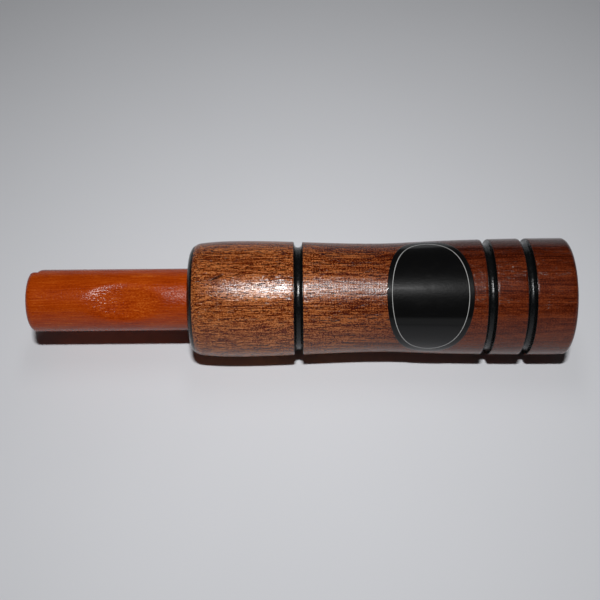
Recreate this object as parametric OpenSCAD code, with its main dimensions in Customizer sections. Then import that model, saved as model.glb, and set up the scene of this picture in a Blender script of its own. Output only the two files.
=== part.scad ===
// Wooden crow call: a turned barrel and a split dowel mouthpiece that holds the reed.
// The call lies on its side. The axis runs along X, the bell is at +X and +Z is up.
// The origin is under the middle of its length, on the surface it lies on.

/* [Barrel] */
// Length of the turned barrel
barrel_l = 95.6; // [86:0.2:110]
// Diameter of the sound bore, from the bell end
sound_bore_d = 19.05; // [17:0.05:22]
// Wall round the sound bore at the bell, the widest place
bell_wall = 5.445; // [4.6:0.005:6.6]
// How far the bulge behind the mouth end is turned in below the bell
bulge_depth = 0.07; // [0:0.01:0.5]
// How far the waist is turned in
waist_depth = 1.02; // [0.6:0.02:1.9]
// How far the rise from the waist to the bell is turned in
rise_depth = 0.47; // [0.2:0.01:0.58]
// How far the mouth end is turned in where its round meets the bulge
mouth_depth = 0.54; // [0.1:0.01:1]
// Corner round of the mouth end
mouth_round = 3.1; // [1.5:0.1:4]
// Corner round of the bell end
bell_round = 1.3; // [0.5:0.1:2]

/* [Bores] */
// Depth of the socket that grips the mouthpiece, from the mouth end
socket_l = 32; // [30:0.5:40]
// Half angle of the cone that the drill leaves between the two bores
drill_angle = 59; // [45:1:70]
// Chamfer of both bore mouths
bore_chamfer = 0.6; // [0.2:0.1:1]

/* [Grooves] */
// Distance of the front groove from the mouth end
front_groove_x = 27.4; // [20:0.1:34]
// Distance of the last groove from the bell end
bell_groove_inset = 11.2; // [8:0.1:15]
// Spacing of the two grooves near the bell
bell_groove_pitch = 9.7; // [6:0.1:13]
// Width of a groove at the surface
groove_w = 2.3; // [1.6:0.1:3]
// Width of a groove's floor
groove_floor_w = 1.25; // [0.6:0.05:1.5]
// Depth of a groove
groove_depth = 1.5; // [0.8:0.1:2.2]
// Thickness of the black paint film
paint_t = 0.1; // [0.05:0.01:0.2]
// Width of the painted band on the corner of the mouth end
rim_paint_w = 1.25; // [0.6:0.05:2]

/* [Mouthpiece] */
// Diameter of the split dowel
dowel_d = 15.875; // [14:0.025:17]
// Length of the long half
dowel_l = 69.85; // [66:0.05:72]
// Length of dowel that stands out of the barrel
dowel_exposed = 41.1; // [38:0.1:43]
// How far the short half's tip is set back
cover_setback = 1.5; // [0.5:0.1:3]
// Edge round of the tip
tip_round = 1.5; // [0.6:0.1:2]
// Edge chamfer of the inner end
tail_chamfer = 0.5; // [0.2:0.1:1]
// Turn of the long half's middle from straight up towards the front
seam_turn = 63; // [0:1:90]
// Gap between the flat faces of the two halves
seam_gap = 0.05; // [0.02:0.01:0.1]
// Radial clearance of the dowel in the socket
socket_clearance = 0.05; // [0.02:0.01:0.1]

/* [Tone board] */
// Distance from the inner end to the line where the reed is let go
clamp_l = 25; // [20:0.5:27]
// Gap between the reed's tip and the lay
tip_opening = 1.35; // [0.8:0.05:1.8]
// Radius of the tone channel at the reed's tip
channel_tip_r = 2.1; // [1.5:0.1:2.6]
// Radius of the tone channel at the inner end
channel_tail_r = 3.6; // [2.8:0.1:4.4]
// Length of the tip rail that the reed closes on
tip_rail_l = 3; // [1.5:0.1:5]
// Length of the outer scoop
scoop_l = 18.4; // [12:0.1:22]
// Depth of the outer scoop
scoop_depth = 1.4; // [0.6:0.1:1.8]
// Distance of the scoop's middle from the mouth end of the barrel
scoop_x = 16.3; // [13:0.1:22]
// Turn of the scoop from straight up towards the front
scoop_turn = 45; // [20:1:90]

/* [Reed cover] */
// Width of the air chamber at the seam
chamber_w = 11.3; // [10.8:0.1:12]
// Depth of the air chamber
chamber_depth = 3.6; // [2.4:0.1:4.2]

/* [Reed] */
// Width of the reed
reed_w = 9.5; // [8:0.1:10.2]
// Thickness of the reed
reed_t = 0.35; // [0.25:0.05:0.5]
// Distance of the reed's tip from the mouthpiece's tip
reed_tip_inset = 12; // [9:0.5:15]
// Distance of the reed's tail from the mouthpiece's inner end
reed_tail_inset = 3; // [1:0.5:6]
// Corner round of the reed
reed_round = 1.5; // [0.5:0.1:3]
// Clearance of the reed to what it lies on and beside
reed_clearance = 0.035; // [0.02:0.005:0.06]
// Clearance of the reed to the sides of its rebate
rebate_side = 0.25; // [0.1:0.05:0.4]

/* [Label] */
// Length of the oval label along the barrel
label_l = 21.2; // [14:0.1:24]
// Height of the oval label round the barrel
label_h = 36.6; // [20:0.1:38]
// Distance of the label's middle from the mouth end of the barrel
label_x = 59.6; // [50:0.1:61]
// Turn of the label's middle from straight up towards the front
label_turn = 36.5; // [0:0.5:60]
// Thickness of the foil
label_t = 0.12; // [0.08:0.01:0.2]
// Gap of the foil to the wood
glue_gap = 0.02; // [0.01:0.01:0.04]

/* [Hidden] */

// Overrun of every cutter past the face it opens
over = 1;
// Segments of a true circle, of an outline's stretch, of a small round and of the label's edge
round_fn = 96;
stretch_n = 11;
corner_n = 8;
label_n = 56;

// Where the outline's widest, narrowest and steepest places lie, as shares of the barrel's length
bulge_share = 0.13;
waist_share = 0.497;
rise_share = 0.659;
bell_share = 0.952;
// Slopes of the outline where the mouth round ends and on the rise
mouth_slope = 0.12;
rise_slope = 0.033;

dowel_r = dowel_d/2;
socket_r = dowel_r + socket_clearance;
sound_r = sound_bore_d/2;
bell_r = sound_r + bell_wall;
mouth_x = dowel_exposed - (dowel_exposed + barrel_l)/2;
bell_x = mouth_x + barrel_l;
tip_x = mouth_x - dowel_exposed;
mouth_face_r = bell_r - mouth_depth - mouth_round;
mouth_arc = 90 - atan(mouth_slope);
clamp_x = dowel_l - clamp_l;
reed_l = dowel_l - reed_tip_inset - reed_tail_inset;
lay_l = clamp_x - reed_tip_inset;
lay_r = (pow(lay_l, 2) + pow(tip_opening, 2))/(2*tip_opening);
groove_xs = [
    front_groove_x,
    barrel_l - bell_groove_inset - bell_groove_pitch,
    barrel_l - bell_groove_inset
];

// Stations of the outline after the mouth round: distance from the mouth end, radius, slope
STATIONS = [
    [mouth_round*(1 - cos(mouth_arc)), mouth_face_r + mouth_round*sin(mouth_arc), mouth_slope],
    [bulge_share*barrel_l, bell_r - bulge_depth, 0],
    [waist_share*barrel_l, bell_r - waist_depth, 0],
    [rise_share*barrel_l, bell_r - rise_depth, rise_slope],
    [bell_share*barrel_l, bell_r, 0]
];

// A smooth cubic between two stations, which keeps the slope of both
function blend(a, b, u) =
    let (l = b[0] - a[0], t = (u - a[0])/l)
    a[1] + (b[1] - a[1])*t*t*(3 - 2*t) + l*(a[2]*t*pow(1 - t, 2) - b[2]*t*t*(1 - t));

// Radius of the turned outline at a distance from the mouth end
function outline_r(u) =
    u >= STATIONS[4][0] ? bell_r :
    u >= STATIONS[3][0] ? blend(STATIONS[3], STATIONS[4], u) :
    u >= STATIONS[2][0] ? blend(STATIONS[2], STATIONS[3], u) :
    u >= STATIONS[1][0] ? blend(STATIONS[1], STATIONS[2], u) :
    blend(STATIONS[0], STATIONS[1], u);

// Outlines are lists of [radius, distance] points.
// The rounded corner of the mouth end, from the flat face outwards, raised by a film's thickness
function mouth_corner(raise, arc) = [
    for (i = [0:corner_n]) let (a = arc*i/corner_n)
        [mouth_face_r + (mouth_round + raise)*sin(a), mouth_round - (mouth_round + raise)*cos(a)]
];

// The long turned stretch between the mouth corner and the bell corner
function turned_stretch() = [
    for (s = [0:3], i = [1:stretch_n])
        let (a = STATIONS[s][0], u = a + (STATIONS[s + 1][0] - a)*i/stretch_n)
        [outline_r(u), u]
];

function bell_corner() = [
    for (i = [0:corner_n]) let (a = 90*i/corner_n)
        [bell_r - bell_round*(1 - cos(a)), barrel_l - bell_round*(1 - sin(a))]
];

// Turns an outline about the X axis
module turned() {
    rotate([0, 90, 0]) rotate_extrude($fn = round_fn) children();
}

// Puts what is drawn from the barrel's mouth end in place
module in_barrel() {
    translate([mouth_x, 0, bell_r]) children();
}

// A groove's section, narrowed and lifted by a film's thickness, with bevelled floor corners
module groove_section(u, film) {
    top_r = outline_r(u);
    floor_r = top_r - groove_depth + film;
    wide = groove_w/2 - film;
    narrow = (groove_floor_w - film)/2;
    knee = (wide - narrow)/2;
    polygon([
        [top_r + over, u - wide],
        [top_r - knee, u - wide],
        [floor_r + knee, u - wide + knee/2],
        [floor_r, u - narrow],
        [floor_r, u + narrow],
        [floor_r + knee, u + wide - knee/2],
        [top_r - knee, u + wide],
        [top_r + over, u + wide]
    ]);
}

// The turned outline, with both bores and the coned shoulder between them
module barrel_section() {
    cone_l = (sound_r - socket_r)/tan(drill_angle);
    polygon(concat(
        [[socket_r + bore_chamfer, 0]],
        mouth_corner(0, mouth_arc),
        turned_stretch(),
        bell_corner(),
        [
            [sound_r + bore_chamfer, barrel_l],
            [sound_r, barrel_l - bore_chamfer],
            [sound_r, socket_l + cone_l],
            [socket_r, socket_l],
            [socket_r, bore_chamfer]
        ]
    ));
}

module barrel() {
    color("#6b3a1e") in_barrel() turned() difference() {
        barrel_section();
        for (u = groove_xs) groove_section(u, 0);
    }
}

// Black film that lines the three grooves up to the surface
module groove_paint() {
    color("#141414") in_barrel() turned() for (u = groove_xs) intersection() {
        difference() {
            groove_section(u, 0);
            groove_section(u, paint_t);
        }
        translate([0, u - groove_w]) square([outline_r(u) - paint_t, 2*groove_w]);
    }
}

// Black film over the flat mouth face and the start of its rounded corner
module rim_paint() {
    arc = acos(1 - rim_paint_w/mouth_round);
    inner = mouth_corner(0, arc);
    color("#141414") in_barrel() turned() polygon(concat(
        [[socket_r + bore_chamfer, -paint_t]],
        mouth_corner(paint_t, arc),
        [for (i = [corner_n:-1:0]) inner[i]],
        [[socket_r + bore_chamfer, 0]]
    ));
}

// Oval foil that follows the outline, its edge cut square to its own middle
module label() {
    half_l = label_l/2;
    oval = [
        for (i = [0:label_n - 1])
            let (a = 360*i/label_n, r = outline_r(label_x + half_l*cos(a)))
            [half_l*cos(a), (r + label_t)*sin(label_h/2*sin(a)/r*180/PI)]
    ];
    foil = [
        for (i = [0:stretch_n]) let (u = label_x - half_l + label_l*i/stretch_n) [outline_r(u) + glue_gap, u]
    ];
    color("#101012") intersection() {
        in_barrel() turned() polygon(concat(
            foil,
            [for (i = [stretch_n:-1:0]) foil[i] + [label_t, 0]]
        ));
        in_barrel() translate([label_x, 0, 0]) rotate([label_turn, 0, 0])
            linear_extrude(bell_r + over) polygon(oval);
    }
}

// Puts a piece that is drawn along the dowel, with its tip at 0 and its flat on XY, in place
module in_dowel() {
    translate([tip_x, 0, bell_r]) rotate([seam_turn, 0, 0]) children();
}

// A dowel with a rounded tip and a chamfered inner end, cut to one side of the seam
module half_dowel(first, side) {
    tip_corner = [
        for (i = [0:corner_n]) let (a = 90*i/corner_n)
            [dowel_r - tip_round*(1 - sin(a)), first + tip_round*(1 - cos(a))]
    ];
    intersection() {
        turned() polygon(concat(
            [[0, first]],
            tip_corner,
            [[dowel_r, dowel_l - tail_chamfer], [dowel_r - tail_chamfer, dowel_l], [0, dowel_l]]
        ));
        translate([first - over, -dowel_r - over, side*seam_gap/2 - (side > 0 ? 0 : dowel_r + over)])
            cube([dowel_l - first + 2*over, 2*(dowel_r + over), dowel_r + over]);
    }
}

// What is cut from the table between the side walls, down to the curved lay
module lay_cut() {
    difference() {
        translate([-over, -chamber_w/2, seam_gap/2 - over])
            cube([clamp_x + over, chamber_w, dowel_r/2 + over]);
        translate([clamp_x, 0, lay_r + seam_gap/2]) rotate([90, 0, 0])
            cylinder(h = 2*chamber_w, r = lay_r, center = true, $fn = 4*round_fn);
    }
}

// Half-round tone channel that widens from the tip rail to the inner end
module tone_channel() {
    start = reed_tip_inset + tip_rail_l + channel_tip_r;
    run = dowel_l - start;
    grow = (channel_tail_r - channel_tip_r)/run;
    translate([start, 0, 0]) {
        rotate([0, 90, 0])
            cylinder(h = run + over, r1 = channel_tip_r, r2 = channel_tail_r + grow*over, $fn = round_fn);
        sphere(r = channel_tip_r, $fn = round_fn);
    }
}

// Shallow drum-cut scoop on the outside, straight across and hollow along
module scoop_cut() {
    drum_r = (pow(scoop_l/2, 2) + pow(scoop_depth, 2))/(2*scoop_depth);
    rotate([scoop_turn - seam_turn, 0, 0])
        translate([dowel_exposed - scoop_x, 0, dowel_r - scoop_depth + drum_r])
            rotate([90, 0, 0]) cylinder(h = 4*dowel_r, r = drum_r, center = true, $fn = 2*round_fn);
}

module tone_board() {
    color("#a4542a") in_dowel() difference() {
        half_dowel(0, 1);
        lay_cut();
        tone_channel();
        scoop_cut();
    }
}

// Gouged air chamber, open at the mouth and run out in a ball end at the clamp
module air_chamber() {
    gouge_r = (pow(chamber_w/2, 2) + pow(chamber_depth, 2))/(2*chamber_depth);
    lift = gouge_r - chamber_depth;
    run = clamp_x - chamber_w/2;
    translate([0, 0, lift]) {
        translate([-over, 0, 0]) rotate([0, 90, 0]) cylinder(h = run + over, r = gouge_r, $fn = round_fn);
        translate([run, 0, 0]) sphere(r = gouge_r, $fn = round_fn);
    }
}

// Shallow rebate that the clamped reed lies in, open at the inner end
module reed_rebate() {
    width = reed_w + 2*rebate_side;
    depth = reed_t + 2*reed_clearance;
    translate([clamp_x - chamber_w, -width/2, seam_gap/2 - depth])
        cube([clamp_l + chamber_w + over, width, depth + over]);
}

module reed_cover() {
    color("#9a4f28") in_dowel() difference() {
        half_dowel(cover_setback, -1);
        air_chamber();
        reed_rebate();
    }
}

// Flat strip with rounded tip corners, lying on the tone board's table
module reed() {
    color("#e8e4d8") in_dowel()
        translate([reed_tip_inset, 0, seam_gap/2 - reed_clearance - reed_t]) linear_extrude(reed_t) {
            translate([reed_round, -reed_w/2]) square([reed_l - reed_round, reed_w]);
            translate([0, reed_round - reed_w/2]) square([reed_l, reed_w - 2*reed_round]);
            for (s = [-1, 1]) translate([reed_round, s*(reed_w/2 - reed_round)])
                circle(r = reed_round, $fn = round_fn);
        }
}

barrel();
groove_paint();
rim_paint();
label();
tone_board();
reed_cover();
reed();
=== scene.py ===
import math

import bmesh
import bpy
import numpy as np
from mathutils import Matrix, Vector


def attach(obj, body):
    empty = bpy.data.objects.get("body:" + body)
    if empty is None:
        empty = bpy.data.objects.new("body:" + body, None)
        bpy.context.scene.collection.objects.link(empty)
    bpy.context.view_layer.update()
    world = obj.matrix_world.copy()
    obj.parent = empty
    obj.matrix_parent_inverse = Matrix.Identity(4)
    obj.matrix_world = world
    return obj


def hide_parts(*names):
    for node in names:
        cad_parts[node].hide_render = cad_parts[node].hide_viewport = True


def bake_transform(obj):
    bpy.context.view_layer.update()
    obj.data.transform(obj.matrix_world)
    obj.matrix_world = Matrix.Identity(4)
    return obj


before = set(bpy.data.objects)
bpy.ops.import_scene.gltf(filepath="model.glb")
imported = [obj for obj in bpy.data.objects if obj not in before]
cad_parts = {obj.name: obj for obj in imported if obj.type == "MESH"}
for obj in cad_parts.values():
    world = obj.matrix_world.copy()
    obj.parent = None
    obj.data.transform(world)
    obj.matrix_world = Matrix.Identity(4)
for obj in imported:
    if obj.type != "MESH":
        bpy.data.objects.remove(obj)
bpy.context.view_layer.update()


# The view: the call lies on a table with its mouthpiece to the left, seen from the front and fairly
# high up, from 245 mm away. The camera leans by half a degree, so the bell stands a bit higher.
MM = 0.001
AXIS_Z = 14.97
FRAME_PX, LENS_PX, SENSOR = 600, 950.0, 36.0
CAMERA_DISTANCE = 244.8
CAMERA_RISE = 51.0
CAMERA_ROLL = 0.49
AIM = np.array([0.56, 0.0, AXIS_Z])
AIM_DROP_PX = 1.6

rise, roll = math.radians(CAMERA_RISE), math.radians(CAMERA_ROLL)
ahead = np.array([0.0, math.cos(rise), -math.sin(rise)])
level = np.array([1.0, 0.0, 0.0])
above = np.cross(level, ahead)
right = math.cos(roll) * level - math.sin(roll) * above
upward = math.sin(roll) * level + math.cos(roll) * above
eye = AIM - CAMERA_DISTANCE * ahead - AIM_DROP_PX * CAMERA_DISTANCE / LENS_PX * upward

lens = bpy.data.cameras.new("view")
lens.sensor_width = SENSOR
lens.lens = LENS_PX / FRAME_PX * SENSOR
lens.clip_start = 0.005
camera = bpy.data.objects.new("view", lens)
camera.matrix_world = Matrix(
    [[*row, place * MM] for row, place in zip(np.column_stack([right, upward, -ahead]), eye)]
    + [[0, 0, 0, 1]]
)
bpy.context.scene.collection.objects.link(camera)
bpy.context.scene.camera = camera


# The barrel: one walnut billet, turned to a bulge, a waist and a bell, and cut with three grooves.
# It is drilled from both ends, for the mouthpiece and for the sound. Its open pores show through
# satin lacquer.
MOUTH_X = -27.25
BARREL_L = 95.6
BELL_R = 14.97
MOUTH_ROUND, BELL_ROUND = 3.1, 1.3
SOCKET_R, SOCKET_L = 7.9875, 32.0
SOUND_R, DRILL_ANGLE, BORE_CHAMFER = 9.525, 59.0, 0.6
GROOVES = (27.4, 74.7, 84.4)
GROOVE_HALF, GROOVE_FLOOR_HALF, GROOVE_DEPTH = 1.15, 0.625, 1.5
LIP = 0.16
MOUTH_SLOPE = 0.12
MOUTH_ARC = 90 - math.degrees(math.atan(MOUTH_SLOPE))
MOUTH_FACE_R = BELL_R - 0.54 - MOUTH_ROUND
STATION_U = np.array([
    MOUTH_ROUND * (1 - math.cos(math.radians(MOUTH_ARC))),
    0.13 * BARREL_L, 0.497 * BARREL_L, 0.659 * BARREL_L, 0.952 * BARREL_L,
])
STATION_R = np.array([
    MOUTH_FACE_R + MOUTH_ROUND * math.sin(math.radians(MOUTH_ARC)),
    BELL_R - 0.07, BELL_R - 1.02, BELL_R - 0.47, BELL_R,
])
STATION_SLOPE = np.array([MOUTH_SLOPE, 0, 0, 0.033, 0])
SHARP_ANGLE = 32.0


def outline_r(u):
    """Radius of the turned outline at a distance u from the mouth end. Between two stations that
    are l apart, with t from 0 to 1: r0 + (r1 - r0) t²(3 - 2t) + l (s0 t(1 - t)² - s1 t²(1 - t)),
    where s0 and s1 are their slopes."""
    u = np.asarray(u, float)
    k = np.clip(np.searchsorted(STATION_U, u, side="right") - 1, 0, 3)
    l = STATION_U[k + 1] - STATION_U[k]
    t = np.clip((u - STATION_U[k]) / l, 0, 1)
    climb = (STATION_R[k + 1] - STATION_R[k]) * t * t * (3 - 2 * t)
    bend = STATION_SLOPE[k] * t * (1 - t) ** 2 - STATION_SLOPE[k + 1] * t * t * (1 - t)
    return STATION_R[k] + climb + l * bend


def corner(u, r, radius, start, stop, count):
    """An arc: u + radius cos a, r + radius sin a, with a from start to stop in degrees."""
    a = np.radians(np.linspace(start, stop, count))
    return np.column_stack([u + radius * np.cos(a), r + radius * np.sin(a)])


def stretch(start, stop, step=0.6):
    """A run of the turned outline, one point every step millimetres."""
    u = np.linspace(start, stop, max(2, int(math.ceil((stop - start) / step)) + 1))
    return np.column_stack([u, outline_r(u)])


def groove_wall(u):
    """The wood of a groove from left to right: straight walls and bevelled floor corners."""
    top = float(outline_r(u))
    knee = (GROOVE_HALF - GROOVE_FLOOR_HALF) / 2
    floor = top - GROOVE_DEPTH
    left = np.array([
        [-GROOVE_HALF, top - knee],
        [-GROOVE_HALF + knee / 2, floor + knee],
        [-GROOVE_FLOOR_HALF, floor],
    ])
    return np.vstack([left, left[::-1] * [-1, 1]]) + [u, 0]


def groove(u):
    """A groove with its rounded lips, so that the edges catch the light as sanded wood does."""
    left, right = u - GROOVE_HALF, u + GROOVE_HALF
    return np.vstack([
        corner(left - LIP, outline_r(left - LIP) - LIP, LIP, 90, 0, 6),
        groove_wall(u),
        corner(right + LIP, outline_r(right + LIP) - LIP, LIP, 180, 90, 6),
    ])


def turn(profile, around=256):
    """A closed outline of (u, r) turned about the axis: x = u, y = r cos a, z = r sin a."""
    a = np.linspace(0, 2 * math.pi, around, endpoint=False)
    u, r = profile[:, 0, None], profile[:, 1, None]
    return np.stack([MOUTH_X + u + 0 * a, r * np.cos(a), r * np.sin(a)], axis=-1)


def skin(name, grids, rows_closed=False, caps=False):
    """Joins grids of points, rows by columns in millimetres from the axis, into closed quads. The
    columns run round. The rows close too, or end in a cap or in a point, where doubles merge."""
    mesh = bpy.data.meshes.new(name)
    places, faces, first = [], [], 0
    for grid in grids:
        rows, columns = grid.shape[:2]
        index = first + np.arange(rows * columns).reshape(rows, columns)
        below = np.roll(index, -1, axis=0) if rows_closed else index[1:]
        here = index if rows_closed else index[:-1]
        beside, diagonal = np.roll(here, -1, axis=1), np.roll(below, -1, axis=1)
        quads = np.stack([here, below, diagonal, beside], axis=-1)
        faces += quads.reshape(-1, 4).tolist()
        if caps:
            faces += [index[0].tolist(), index[-1][::-1].tolist()]
        places.append(grid.reshape(-1, 3))
        first += rows * columns
    points = (np.vstack(places) + [0, 0, AXIS_Z]) * MM
    mesh.from_pydata(points.tolist(), [], faces)
    shell = bmesh.new()
    shell.from_mesh(mesh)
    bmesh.ops.remove_doubles(shell, verts=shell.verts, dist=2e-7)
    bmesh.ops.dissolve_degenerate(shell, edges=shell.edges, dist=1e-7)
    bmesh.ops.recalc_face_normals(shell, faces=shell.faces)
    shell.to_mesh(mesh)
    shell.free()
    mesh.shade_smooth()
    mesh.set_sharp_from_angle(angle=math.radians(SHARP_ANGLE))
    piece = bpy.data.objects.new(name, mesh)
    bpy.context.scene.collection.objects.link(piece)
    return piece


class Wire:
    """A value or colour that one node of a material gives. Arithmetic on it adds the Math nodes."""

    def __init__(self, tree, socket=None):
        self.tree, self.socket = tree, socket

    def node(self, kind, settings=None, sockets=None, out=0):
        """Adds a node, sets it, joins or fills its sockets, and gives the wire of one output."""
        made = self.tree.nodes.new("ShaderNode" + kind)
        for key, value in (settings or {}).items():
            if key == "stops":
                stops = made.color_ramp.elements
                stops.remove(stops[1])
                stops[0].position, stops[0].color = value[0][0], (*value[0][1], 1)
                for at, colour in value[1:]:
                    stops.new(at).color = (*colour, 1)
            else:
                setattr(made, key, value)
        for key, value in (sockets or {}).items():
            if isinstance(value, Wire):
                self.tree.links.new(value.socket, made.inputs[key])
            else:
                made.inputs[key].default_value = value
        return Wire(self.tree, made.outputs[out])

    def math(self, operation, first, second=0.0, third=0.0):
        return self.node("Math", {"operation": operation}, {0: first, 1: second, 2: third})

    def __add__(self, other):
        return self.math("ADD", self, other)

    def __sub__(self, other):
        return self.math("SUBTRACT", self, other)

    def __mul__(self, other):
        return self.math("MULTIPLY", self, other)

    def __truediv__(self, other):
        return self.math("DIVIDE", self, other)

    def __pow__(self, other):
        return self.math("POWER", self, other)

    def __rsub__(self, other):
        return self.math("SUBTRACT", other, self)

    __radd__, __rmul__ = __add__, __mul__

    def step(self, low, high):
        """0 below low, 1 above high, a smooth climb between. With low above high it falls."""
        sockets = {0: self, 1: low, 2: high, 3: 0.0, 4: 1.0}
        return self.node("MapRange", {"interpolation_type": "SMOOTHSTEP"}, sockets)

    def parts(self):
        """The x, y and z of this vector."""
        split = self.node("SeparateXYZ", {}, {0: self}).socket.node
        return [Wire(self.tree, socket) for socket in split.outputs]

    def noise(self, detail=2.0, roughness=0.5):
        """Cloudy noise on this vector, from 0 to 1 about 0.5."""
        return self.node("TexNoise", {}, {0: self, 2: 1.0, 3: detail, 4: roughness})

    def between(self, first, second):
        """Two colours mixed: the first where this value is 0, the second where it is 1."""
        return self.node("Mix", {"data_type": "RGBA"}, {0: self, 6: first, 7: second}, out=2)

    def tint(self, share, other):
        """This colour mixed towards another by a share."""
        return share.between(self, other)

    def bump(self, strength, depth):
        """The normal of a surface that this height roughens, by depth metres for a height of 1."""
        sockets = {"Strength": strength, "Distance": depth, "Height": self}
        return self.node("Bump", {}, sockets)


def finish(name, steady, varying):
    """A material with one glossy surface. steady are its fixed sockets. varying works out the rest
    from a place on the piece in millimetres: x along the call, y and z from its axis."""
    material = bpy.data.materials.new(name)
    material.use_nodes = True
    tree = material.node_tree
    surface = tree.nodes["Principled BSDF"]
    for key, value in steady.items():
        surface.inputs[key].default_value = value
    place = Wire(tree).node("TexCoord", out="Object")
    place = place.node("Mapping", {}, {0: place, 1: (0, 0, -AXIS_Z), 3: (1 / MM, 1 / MM, 1 / MM)})
    for key, value in varying(*place.parts()).items():
        tree.links.new(value.socket, surface.inputs[key])
    return material


def along(x, y, z, length, width, shift=0.0):
    """A vector for a pattern that is drawn out along the grain: one unit is length by width mm.
    Each pattern has its own shift, so that no two of them line up."""
    return x.node("CombineXYZ", {}, {0: x / length + shift, 1: y / width, 2: z / width})


WALNUT_MOUTH = (
    (0.0, (0.05, 0.004, 0.0003)), (0.25, (0.125, 0.014, 0.0014)), (0.5, (0.22, 0.043, 0.006)),
    (0.75, (0.33, 0.086, 0.016)), (1.0, (0.5, 0.175, 0.05)),
)
WALNUT_BELL = (
    (0.0, (0.03, 0.0035, 0.0007)), (0.3, (0.062, 0.008, 0.0017)), (0.55, (0.096, 0.0145, 0.0034)),
    (1.0, (0.17, 0.035, 0.0095)),
)
PORE_DARK = (0.02, 0.003, 0.0008, 1)
PORE_SIZES, PORE_EDGE = ((2.2, 0.34, 0.0), (5.5, 0.38, 3.0)), (0.3, 0.22)
TOOL_PITCH = 0.7
CALMS, REDDENS, WAIST_STARTS, WAIST_ENDS = (14, 38), (-14, 42), (-2, 3), (26, 20)
# Where the painted shade over the top and back of the barrel starts and ends, in y and in z.
PAINTED_SHADE_Y, PAINTED_SHADE_Z = (-9, 5), (-4, 10)
DIVE_X, DIVE_SOFT, DIVE_SLOPE = -9.0, 9.0, 1.2
NICK_X, NICK_TURN, NICK_LEAN = -19.7, math.radians(18.4), math.radians(24)
NICK_HALF_L, NICK_HALF_W, NICK_EDGE, NICK_SIDE = 1.9, 0.34, (1.3, 0.5), (0, 4)


def walnut(x, y, z):
    """Walnut under lacquer. Short dark pores lie along the fibres, which wander a little, and are
    thicker in some streaks. Near the mouth end the fibres dive and are cut short. It is
    orange-brown there, and a darker red-brown and calmer at the bell. The turning tool left faint
    rings. The top and back of the barrel are darkened with painted shade. A small nick crosses
    the grain on the bulge: an ellipse, leaning across x and the way round the barrel."""
    round_it = y * math.cos(NICK_TURN) + z * math.sin(NICK_TURN)
    lean, upright = math.sin(NICK_LEAN), math.cos(NICK_LEAN)
    nick_l = ((x - NICK_X) * upright + round_it * lean) / NICK_HALF_L
    nick_w = (round_it * upright - (x - NICK_X) * lean) / NICK_HALF_W
    nick = (nick_l * nick_l + nick_w * nick_w).step(*NICK_EDGE) * z.step(*NICK_SIDE)

    drift = along(x, y, z, 38, 14).noise() - 0.5
    sway = along(x, y, z, 30, 12, 7.3).noise() - 0.5
    y, z = y + drift * 2.2, z + sway * 2.2
    reach = x - x.math("SMOOTH_MAX", DIVE_X - x, 0.0, DIVE_SOFT) * DIVE_SLOPE
    busy = 1 - x.step(*CALMS) * 0.65

    dash = along(reach, y, z, 3.4, 0.22).noise(1) - 0.5
    speck = along(reach, y, z, 0.3, 0.2, 5).noise(1) - 0.5
    line = along(reach, y, z, 24, 0.3, 9).noise(2, 0.6) - 0.5
    fleck = along(reach, y, z, 2.2, 0.8, 7).noise(2, 0.6) - 0.5
    streak = along(x, y, z, 60, 2.2, 2).noise() - 0.5
    cloud = along(x, y, z, 12, 5, 4).noise() - 0.5
    ring = x.math("SINE", x * (2 * math.pi / TOOL_PITCH))

    pore = 0.0
    for length, width, shift in PORE_SIZES:
        cell = along(reach, y, z, length, width, shift)
        pore = cell.node("TexVoronoi", {}, {0: cell, 2: 1.0, 8: 1.0}).step(*PORE_EDGE) + pore
    pore = x.math("MINIMUM", pore, 1.0) * (streak * 4 + cloud * 2 + 0.8)
    pore = x.math("MAXIMUM", pore, 0.0)

    waist = x.step(*WAIST_STARTS) * x.step(*WAIST_ENDS)
    fibres = (dash * 2.2 + speck * 4.9 + line * 3.9) * busy
    tone = 0.6 - busy * 0.06 + fibres + fleck * 0.5 + streak * 1.1 + cloud * 0.6
    tone = tone + waist * 0.1 + ring * (0.04 + waist * 0.06)
    # Painted shade: the top and back of the barrel are darkened, by a share that grows towards the
    # bell and on the waist.
    painted_top_shade = y.step(*PAINTED_SHADE_Y) * z.step(*PAINTED_SHADE_Z)
    tone = tone - painted_top_shade * (0.5 - busy * 0.26 + waist * 0.08)
    mouth = tone.node("ValToRGB", {"stops": WALNUT_MOUTH}, {0: tone})
    bell = tone.node("ValToRGB", {"stops": WALNUT_BELL}, {0: tone})
    wood = mouth.tint(x.step(*REDDENS), bell).tint(pore * busy * 0.9, PORE_DARK)
    height = (dash + line * 1.6 - pore * 1.6) * busy + speck * 0.8 + ring * 0.05 - nick * 4
    return {
        "Base Color": wood.tint(nick * 0.85, PORE_DARK),
        "Roughness": 0.172 + waist * 0.06 + cloud * 0.08,
        "Normal": height.bump(0.5, 0.00006),
    }


cone_l = (SOUND_R - SOCKET_R) / math.tan(math.radians(DRILL_ANGLE))
bell_corner = corner(BARREL_L - BELL_ROUND, BELL_R - BELL_ROUND, BELL_ROUND, 90, 0, 14)
turned = [corner(MOUTH_ROUND, MOUTH_FACE_R, MOUTH_ROUND, 180, 180 - MOUTH_ARC, 18)[:-1]]
start_u = STATION_U[0]
for u in GROOVES:
    turned += [stretch(start_u, u - GROOVE_HALF - LIP)[:-1], groove(u)]
    start_u = u + GROOVE_HALF + LIP
turned += [stretch(start_u, BARREL_L - BELL_ROUND)[:-1], bell_corner]
bores = np.array([
    [BARREL_L, SOUND_R + BORE_CHAMFER], [BARREL_L - BORE_CHAMFER, SOUND_R],
    [SOCKET_L + cone_l, SOUND_R], [SOCKET_L, SOCKET_R],
    [BORE_CHAMFER, SOCKET_R], [0, SOCKET_R + BORE_CHAMFER],
])
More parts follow.
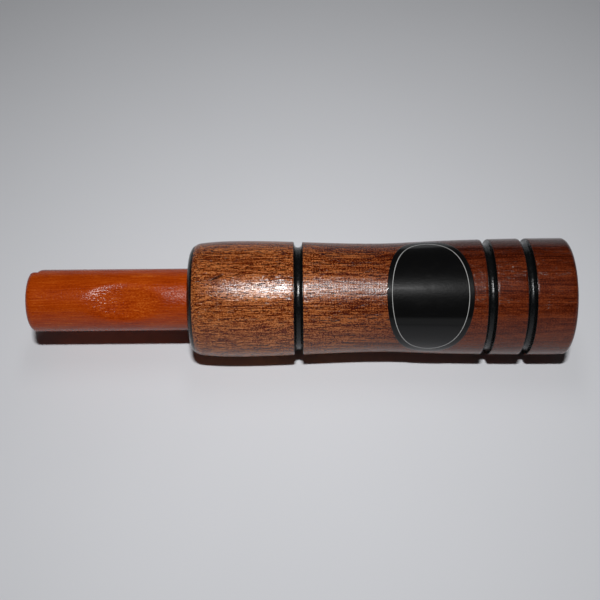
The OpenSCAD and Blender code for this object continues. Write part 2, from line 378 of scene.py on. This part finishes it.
barrel = skin("barrel_wood", [turn(np.vstack(turned + [bores]))], rows_closed=True)
barrel.data.materials.append(finish("lacquered walnut", {"Specular IOR Level": 0.34}, walnut))
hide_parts("barrel")
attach(barrel, "barrel_body")


# The groove paint: black gloss flooded into the three grooves while the call turns, so that it
# pools at the floor and climbs both walls almost to the wood's surface.
PAINT_T = 0.1
PAINT_BLACK, PAINT_DULL = (0.0035, 0.0038, 0.004, 1), (0.012, 0.011, 0.011, 1)


def flooded_groove(u):
    """The paint's section: its back lies on the wood, and its front is a rounded trough, with a
    depth of the square root of 1 - |s|^2.6 of the whole across a width s from -1 to 1."""
    top = float(outline_r(u)) - PAINT_T
    back = np.vstack([[u - GROOVE_HALF, top], groove_wall(u), [u + GROOVE_HALF, top]])
    s = np.sin(np.linspace(-math.pi / 2, math.pi / 2, 33))
    sunk = np.sqrt(np.clip(1 - np.abs(s) ** 2.6, 0, 1))
    trough = GROOVE_DEPTH - 2 * PAINT_T
    front = np.column_stack([u + (GROOVE_HALF - PAINT_T) * s, top - trough * sunk])
    return np.vstack([back, front[::-1]])


def gloss_paint(x, y, z):
    """Brushed gloss black, a little lumpy where it ran, with dull specks where it dried thin."""
    lumps = along(x, y, z, 0.7, 1.1).noise(3, 0.6)
    specks = along(x, y, z, 0.22, 0.3, 4).noise(2, 0.6)
    height = lumps + specks * 0.35
    return {
        "Base Color": (specks.step(0.6, 0.75) * 0.4).between(PAINT_BLACK, PAINT_DULL),
        "Roughness": 0.2 + lumps.step(0.4, 0.7) * 0.16,
        "Normal": height.bump(0.5, 0.00016),
    }


black_paint = finish("black gloss paint", {"Specular IOR Level": 0.35}, gloss_paint)
groove_film = skin("groove_film", [turn(flooded_groove(u)) for u in GROOVES], rows_closed=True)
groove_film.data.materials.append(black_paint)
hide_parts("groove_paint")
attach(groove_film, "barrel_body")


# The mouth paint: the same black, brushed over the end of the barrel round the socket and on over
# the start of its rounded corner, where it thins out to nothing.
RIM_PAINT_W, RIM_ROWS = 1.25, 16
FEATHER_STEEP, FEATHER_T = 6, 0.12
rim_arc = math.degrees(math.acos(1 - RIM_PAINT_W / MOUTH_ROUND))
sweep = np.radians(np.linspace(0, rim_arc, RIM_ROWS))
film = PAINT_T * np.clip((1 - np.linspace(0, 1, RIM_ROWS)) * FEATHER_STEEP, FEATHER_T, 1)
front = np.column_stack([
    MOUTH_ROUND - (MOUTH_ROUND + film) * np.cos(sweep),
    MOUTH_FACE_R + (MOUTH_ROUND + film) * np.sin(sweep),
])
back = corner(MOUTH_ROUND, MOUTH_FACE_R, MOUTH_ROUND, 180, 180 - rim_arc, RIM_ROWS)
inner = SOCKET_R + BORE_CHAMFER
inner_edge = [[-0.75 * PAINT_T, inner], [-PAINT_T, inner + 0.06]]
film_section = np.vstack([inner_edge, front, back[::-1], [[0, inner]]])
mouth_film = skin("mouth_film", [turn(film_section)], rows_closed=True)
mouth_film.data.materials.append(black_paint)
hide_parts("rim_paint")
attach(mouth_film, "barrel_body")


# The label: an oval of black foil with a thin silver border line, glued over the waist and the rise
# to the bell, so that it bends round the barrel and along its hollow. Its face is otherwise plain.
LABEL_HALF_L, LABEL_HALF_H = 10.6, 18.3
LABEL_U, LABEL_TURN = 59.6, 36.5
FOIL_T, GLUE_GAP, CUT_EDGE, EDGE_START = 0.12, 0.02, 0.04, 0.992
LINE_RISES, LINE_FALLS = (0.872, 0.877), (0.889, 0.884)
FOIL_BLACK, FOIL_SCUFFED = (0.003, 0.003, 0.0031, 1), (0.0055, 0.0052, 0.005, 1)
SILVER = (0.42, 0.42, 0.41, 1)
FOIL_GLOSS = {
    "Specular IOR Level": 0.06, "Coat Weight": 1.0, "Coat Roughness": 0.06, "Coat IOR": 1.34,
}


def foil_layer(lift, reach):
    """The oval at a height above the wood: u runs along the barrel by reach cos a, and the angle
    round it by reach sin a over the radius, as paper does that bends but doesn't stretch."""
    a = np.linspace(0, 2 * math.pi, 128, endpoint=False)
    u = LABEL_U + LABEL_HALF_L * reach[:, None] * np.cos(a)
    r = outline_r(u)
    turned_by = math.radians(LABEL_TURN) - LABEL_HALF_H * reach[:, None] * np.sin(a) / r
    r = r + GLUE_GAP + lift[:, None]
    return np.stack([MOUTH_X + u, -r * np.sin(turned_by), r * np.cos(turned_by)], axis=-1)


reach = np.sin(np.linspace(0, math.pi / 2, 26))
at_edge = np.clip((reach - EDGE_START) / (1 - EDGE_START), 0, 1)
upper = foil_layer(FOIL_T - CUT_EDGE * at_edge, reach)
lower = foil_layer(0 * reach, reach)
label = skin("label_foil", [np.concatenate([upper, lower[::-1]])])
points = np.empty(len(label.data.vertices) * 3)
label.data.vertices.foreach_get("co", points)
points = points.reshape(-1, 3) / MM - [MOUTH_X, 0, AXIS_Z]
across = points[:, 0] - LABEL_U
turned_by = np.arctan2(-points[:, 1], points[:, 2])
round_it = (math.radians(LABEL_TURN) - turned_by) * outline_r(points[:, 0])
corners = np.empty(len(label.data.loops), dtype=np.int32)
label.data.loops.foreach_get("vertex_index", corners)
flat = np.column_stack([across / LABEL_HALF_L, round_it / LABEL_HALF_H])[corners]
label.data.uv_layers.new(name="cut").data.foreach_set("uv", flat.ravel())


def foil(x, y, z):
    """Black foil with a soft orange peel, and a silver line inside its edge. The line follows the
    cut oval: how far out a place lies is the square root of u² + v² on the flat label."""
    u, v, _ = x.node("UVMap", {"uv_map": "cut"}).parts()
    out = (u * u + v * v) ** 0.5
    silver = out.step(*LINE_RISES) * out.step(*LINE_FALLS)
    peel = along(x, y, z, 0.5, 0.5).noise(3)
    scuff = along(x, y, z, 2.5, 1.6, 3).noise(4, 0.7)
    black = (scuff.step(0.55, 0.8) * 0.5).between(FOIL_BLACK, FOIL_SCUFFED)
    return {
        "Base Color": black.tint(silver, SILVER),
        "Roughness": 0.34 + scuff.step(0.4, 0.8) * 0.1,
        "Normal": peel.bump(0.5, 0.00006),
    }


label.data.materials.append(finish("black foil", FOIL_GLOSS, foil))
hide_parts("label")
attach(label, "barrel_body")


# The long half of the mouthpiece: the tone board, split from a dowel. Its table is hollowed to a
# curved lay between two side walls, a tone channel runs back from the tip rail, and its outside has
# a scoop.
TIP_X = -68.35
DOWEL_R, DOWEL_L = 7.9375, 69.85
TIP_ROUND, TAIL_CHAMFER = 1.5, 0.5
SEAM_TURN, SEAM_HALF = 63.0, 0.025
CLAMP_X, LAY_L, TIP_OPENING = 44.85, 32.85, 1.35
CHAMBER_HALF, CHAMBER_DEPTH = 5.65, 3.6
CHANNEL_START, CHANNEL_TIP_R, CHANNEL_TAIL_R = 17.1, 2.1, 3.6
SCOOP_X, SCOOP_L, SCOOP_DEPTH, SCOOP_TURN, SCOOP_SOFT = 24.8, 18.4, 1.4, 45.0, 0.7
LEAST_LEAN, OUT_OF_REACH = 0.3, 99.0
EDGE = 0.12
HAIR = 0.004


def dowel_r(x, first):
    """The dowel's radius: a quarter round at its tip, a chamfer at its tail, straight between."""
    tip = np.clip(TIP_ROUND - (x - first), 0, TIP_ROUND)
    tail = np.clip(x - (DOWEL_L - TAIL_CHAMFER), 0, None)
    return DOWEL_R - TIP_ROUND + np.sqrt(TIP_ROUND**2 - tip**2) - tail


def dowel_stations(first, *dense):
    """Places along the dowel, a millimetre apart, and closer at its tip and in dense stretches."""
    tip = first + TIP_ROUND * (1 - np.cos(np.linspace(0, math.pi / 2, 12)))
    runs = [np.linspace(a, b, n) for a, b, n in dense]
    middle = np.linspace(first + TIP_ROUND, DOWEL_L - TAIL_CHAMFER, 68)
    return np.unique(np.concatenate([tip, middle, [DOWEL_L], *runs]).round(4))


def half_section(x, first, across, depth, shave=None):
    """Closed sections of half a dowel, one a station: round the outside from one seam edge to the
    other, then back over the inner face, which lies at depth above the seam at each across."""
    r = dowel_r(x, first)[:, None]
    low = np.arcsin((SEAM_HALF + EDGE) / r)
    turned_to = low + (math.pi - 2 * low) * np.linspace(0, 1, 121)
    outer_r = shave(x[:, None], r, turned_to) if shave else r + 0 * turned_to
    outer = np.stack([outer_r * np.cos(turned_to), outer_r * np.sin(turned_to)], axis=-1)
    edge = np.sqrt(r[:, 0] ** 2 - SEAM_HALF**2)
    turn_in = np.stack([edge - 0.3 * EDGE, 0 * edge + SEAM_HALF + 0.3 * EDGE], axis=-1)[:, None]
    inner = np.stack([across, depth], axis=-1)
    return np.concatenate([outer, turn_in * [-1, 1], inner, turn_in], axis=1)


def in_dowel(x, section, side):
    """Puts sections of the dowel in place: turned by the seam's angle, with x from the tip."""
    seam = math.radians(SEAM_TURN)
    p, q = section[..., 0], side * section[..., 1]
    return np.stack([
        TIP_X + x[:, None] + 0 * p,
        p * math.cos(seam) - q * math.sin(seam),
        p * math.sin(seam) + q * math.cos(seam),
    ], axis=-1)


def scooped(x, r, turned_to):
    """The outside with the scoop: at each station a chord at the drum's height cuts the circle, at
    height / cos of the angle from the scoop's middle, and the two meet in a soft edge."""
    drum_r = ((SCOOP_L / 2) ** 2 + SCOOP_DEPTH**2) / (2 * SCOOP_DEPTH)
    away = np.clip(np.abs(x - SCOOP_X), 0, 0.98 * drum_r)
    height = DOWEL_R - SCOOP_DEPTH + drum_r - np.sqrt(drum_r**2 - away**2)
    lean = np.cos(turned_to - math.radians(90 - (SEAM_TURN - SCOOP_TURN)))
    chord = np.where(lean > LEAST_LEAN, height / np.clip(lean, LEAST_LEAN, 1), OUT_OF_REACH)
    overlap = np.clip(SCOOP_SOFT - np.abs(r - chord), 0, None)
    return np.minimum(r, chord) - overlap**2 / (4 * SCOOP_SOFT)


channel_round = (CHANNEL_START - CHANNEL_TIP_R, CHANNEL_START, 9)
scoop_run = (SCOOP_X - SCOOP_L / 2, SCOOP_X + SCOOP_L / 2, 60)
lay_end = (40.0, 46.0, 13)
x = dowel_stations(0.0, channel_round, scoop_run, lay_end)
lay_r = (LAY_L**2 + TIP_OPENING**2) / (2 * TIP_OPENING)
lay = SEAM_HALF + lay_r - np.sqrt(lay_r**2 - np.clip(CLAMP_X - x, 0, None) ** 2)
grow = (CHANNEL_TAIL_R - CHANNEL_TIP_R) / (DOWEL_L - CHANNEL_START)
channel_r = np.where(
    x < CHANNEL_START,
    np.sqrt(np.clip(CHANNEL_TIP_R**2 - (CHANNEL_START - x) ** 2, 0, None)),
    CHANNEL_TIP_R + grow * (x - CHANNEL_START),
)
channel_half = np.sqrt(np.clip(channel_r**2 - lay**2, 0, None))[:, None]
rail_end = (dowel_r(x, 0.0) - EDGE)[:, None]
t = np.linspace(0, 1, 14)
hollow = channel_half * np.sin(t * math.pi / 2)
table = channel_half + (CHAMBER_HALF - HAIR - channel_half) * np.linspace(0.04, 1, 7)
rail = CHAMBER_HALF + HAIR + (rail_end - CHAMBER_HALF - HAIR) * np.linspace(0, 1, 4)
half_across = np.concatenate([hollow, table, rail], axis=1)
half_depth = np.concatenate([
    np.sqrt(np.clip(channel_r[:, None] ** 2 - hollow**2, 0, None)),
    np.broadcast_to(lay[:, None], table.shape),
    np.full(rail.shape, SEAM_HALF),
], axis=1)
half_depth = np.where(half_across < CHAMBER_HALF, np.maximum(half_depth, lay[:, None]), half_depth)
across = np.concatenate([-half_across[:, :0:-1], half_across], axis=1)
depth = np.concatenate([half_depth[:, :0:-1], half_depth], axis=1)
section = half_section(x, 0.0, across, depth, scooped)
tone_board = skin("long_half", [in_dowel(x, section, 1)], caps=True)


DOWEL_STAIN = (
    (0.0, (0.225, 0.02, 0.0002)), (0.3, (0.3, 0.033, 0.0006)), (0.55, (0.35, 0.044, 0.0014)),
    (0.8, (0.4, 0.061, 0.0036)), (1.0, (0.47, 0.093, 0.009)),
)
SCOOP_EDGE, SCOOP_END, RUBBED = (DOWEL_R - 0.05, DOWEL_R - 0.4), (-29, -33), (-40, -34)


def stained_dowel(x, y, z):
    """Close-grained dowel, stained orange and lacquered. Its fibres are faint and long. The scoop
    lies nearer the axis than the turned skin does, and there they are cut across, so it is flecked.
    Beside the barrel the lacquer is rubbed a little dull."""
    scoop = ((y * y + z * z) ** 0.5).step(*SCOOP_EDGE) * x.step(*SCOOP_END)
    drift = along(x, y, z, 40, 12).noise() - 0.5
    y, z = y + drift * 1.4, z + drift
    fibre = along(x, y, z, 5, 0.3).noise() - 0.5
    speck = along(x, y, z, 0.5, 0.28, 6).noise(1) - 0.5
    blotch = along(x, y, z, 9, 3.5, 9).noise() - 0.5
    rubbed = x.step(*RUBBED)
    tone = 0.5 + fibre * 1.3 + speck * (0.9 + scoop * 0.8) + blotch * 0.9
    height = (fibre + speck) * (6 + rubbed * 3)
    return {
        "Base Color": tone.node("ValToRGB", {"stops": DOWEL_STAIN}, {0: tone}),
        "Roughness": 0.21 + rubbed * 0.05,
        "Normal": height.bump(0.5, 0.00002),
    }


stained = finish("stained dowel", {"Specular IOR Level": 0.21}, stained_dowel)
tone_board.data.materials.append(stained)
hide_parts("tone_board")
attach(tone_board, "mouthpiece_body")


# The short half of the mouthpiece: the cover, split from the same dowel and set back a little at
# the tip. An air chamber is gouged into its face, and behind that a shallow rebate grips the reed.
COVER_SETBACK = 1.5
REBATE_HALF, REBATE_START, REBATE_FLOOR = 5.0, 33.55, 0.395
gouge_r = (CHAMBER_HALF**2 + CHAMBER_DEPTH**2) / (2 * CHAMBER_DEPTH)
lift = gouge_r - CHAMBER_DEPTH
run_out = CLAMP_X - CHAMBER_HALF

x = dowel_stations(COVER_SETBACK, (REBATE_START - HAIR, REBATE_START, 2), (run_out, CLAMP_X, 26))
ball_r = np.sqrt(np.clip(gouge_r**2 - np.clip(x - run_out, 0, None) ** 2, 0, None))[:, None]
lip = np.sqrt(np.clip(ball_r**2 - (lift + SEAM_HALF) ** 2, 0, None))
lip = np.clip(lip, REBATE_HALF + 3 * HAIR, None)
rail_end = (dowel_r(x, COVER_SETBACK) - EDGE)[:, None]
floor_part = (REBATE_HALF - HAIR) * np.linspace(0, 1, 30) + 0 * lip
ledge = REBATE_HALF + HAIR + (lip - REBATE_HALF - HAIR) * np.linspace(0, 1, 6)
rail = lip + (rail_end - lip) * np.linspace(0.02, 1, 5)
half_across = np.concatenate([floor_part, ledge, rail], axis=1)
in_rebate = (half_across < REBATE_HALF) & (x[:, None] >= REBATE_START)
gouge = np.sqrt(np.clip(ball_r**2 - half_across**2, 0, None)) - lift
half_depth = np.maximum(np.where(in_rebate, REBATE_FLOOR, SEAM_HALF), gouge)
across = np.concatenate([-half_across[:, :0:-1], half_across], axis=1)
depth = np.concatenate([half_depth[:, :0:-1], half_depth], axis=1)
section = half_section(x, COVER_SETBACK, across, depth)
cover = skin("short_half", [in_dowel(x, section, -1)], caps=True)
cover.data.materials.append(stained)
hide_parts("reed_cover")
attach(cover, "cover_body")


# The reed: a strip of frosted film with a rounded tip. Its tail is clamped in the rebate, and its
# free end stands over the lay and beats on it when air is blown through.
REED_W, REED_T, REED_ROUND = 9.5, 0.35, 1.5
REED_TIP, REED_TAIL, REED_TOP = 12.0, 66.85, -0.01
FILM_DEEP, FILM_PALE = (0.78, 0.75, 0.66, 1), (0.86, 0.83, 0.75, 1)

x = np.unique(np.concatenate([
    REED_TIP + REED_ROUND * (1 - np.cos(np.linspace(0.15, math.pi / 2, 12))),
    np.linspace(REED_TIP + REED_ROUND, CLAMP_X, 60),
    np.linspace(CLAMP_X, REED_TAIL, 12),
]).round(4))
near_tip = np.clip(REED_ROUND - (x - REED_TIP), 0, REED_ROUND)
half_w = (REED_W / 2 - REED_ROUND + np.sqrt(REED_ROUND**2 - near_tip**2))[:, None]
t = np.linspace(-1, 1, 9)
across = np.concatenate([half_w * t, half_w * t[::-1]], axis=1)
depth = np.broadcast_to(np.repeat([REED_TOP, REED_TOP - REED_T], 9), across.shape)
reed = skin("reed_strip", [in_dowel(x, np.stack([across, depth], axis=-1), 1)], caps=True)


def frosted_film(x, y, z):
    """Pale translucent film, frosted by sanding along its length."""
    sanded = along(x, y, z, 6, 0.12).noise(3, 0.6)
    cloud = along(x, y, z, 9, 6).noise()
    return {
        "Base Color": cloud.between(FILM_DEEP, FILM_PALE),
        "Roughness": 0.4 + sanded * 0.25,
        "Normal": sanded.bump(0.3, 0.00001),
    }


reed.data.materials.append(finish("frosted film", {"IOR": 1.5}, frosted_film))
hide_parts("reed")
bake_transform(reed)


# The table: plain white card. It is lit by a small flash behind and above the lens, and by a soft
# lamp nearly overhead, which the lacquer doesn't mirror. The room is pale low down and dark above.
TABLE_TONE, TABLE_HALF, TABLE_FADE = (0.67, 0.68, 0.71), 1600, (280, 190)
CARD_MATT = {"Roughness": 0.75, "Specular IOR Level": 0.15}
FLASH_BACK, FLASH_RISE = 160.0, 136.0
ROOM_TONE, ROOM_DARKENS = (0.96, 0.98, 1.0, 1), (0.22, 0.08)
ROOM_STRENGTH, ROOM_FILL = 0.38, 0.016

table_mesh = bpy.data.meshes.new("table")
table_corners = [
    (a * TABLE_HALF * MM, b * TABLE_HALF * MM, 0) for a, b in ((-1, -1), (1, -1), (1, 1), (-1, 1))
]
table_mesh.from_pydata(table_corners, [], [(0, 1, 2, 3)])
table_top = bpy.data.objects.new("table", table_mesh)
bpy.context.scene.collection.objects.link(table_top)


def card(x, y, z):
    """Smooth white card with the faintest mottling. Well away from the call it fades out."""
    pale, paler = ((*[c * share for c in TABLE_TONE], 1) for share in (0.98, 1.02))
    return {
        "Base Color": along(x, y, z, 60, 60).noise().between(pale, paler),
        "Alpha": ((x * x + y * y) ** 0.5).step(*TABLE_FADE),
    }


table_mesh.materials.append(finish("white card", CARD_MATT, card))


def lamp(name, place, aim, size, spread, power):
    """A rectangular lamp at a place, turned to face its aim, both in millimetres. Its spread in
    degrees is how wide its light opens."""
    light = bpy.data.lights.new(name, "AREA")
    light.shape = "RECTANGLE"
    light.size, light.size_y = size[0] * MM, size[1] * MM
    light.spread = math.radians(spread)
    light.energy = power
    holder = bpy.data.objects.new(name, light)
    holder.location = Vector(place) * MM
    holder.rotation_euler = (Vector(aim) - Vector(place)).to_track_quat("-Z", "Y").to_euler()
    bpy.context.scene.collection.objects.link(holder)
    return holder


flash_place = eye - FLASH_BACK * ahead + FLASH_RISE * upward
lamp("flash", flash_place, aim=(0, 20, 0), size=(36, 14), spread=90, power=0.382)
soft = lamp("soft", (0, 80, 310), aim=(0, 0, 10), size=(50, 150), spread=180, power=0.08)
soft.visible_glossy = False

world = bpy.data.worlds.new("room")
world.use_nodes = True
walls = world.node_tree.nodes["Background"]
walls.inputs["Color"].default_value = ROOM_TONE
air = Wire(world.node_tree)
rays = air.node("LightPath").socket.node.outputs
seen = sum(Wire(air.tree, rays[f"Is {kind} Ray"]) for kind in ("Camera", "Glossy", "Transmission"))
low = air.node("TexCoord", out="Generated").parts()[2].step(*ROOM_DARKENS)
strength = seen * low * ROOM_STRENGTH + ROOM_FILL
world.node_tree.links.new(strength.socket, walls.inputs["Strength"])
bpy.context.scene.world = world
bpy.context.scene.view_settings.view_transform = "Standard"
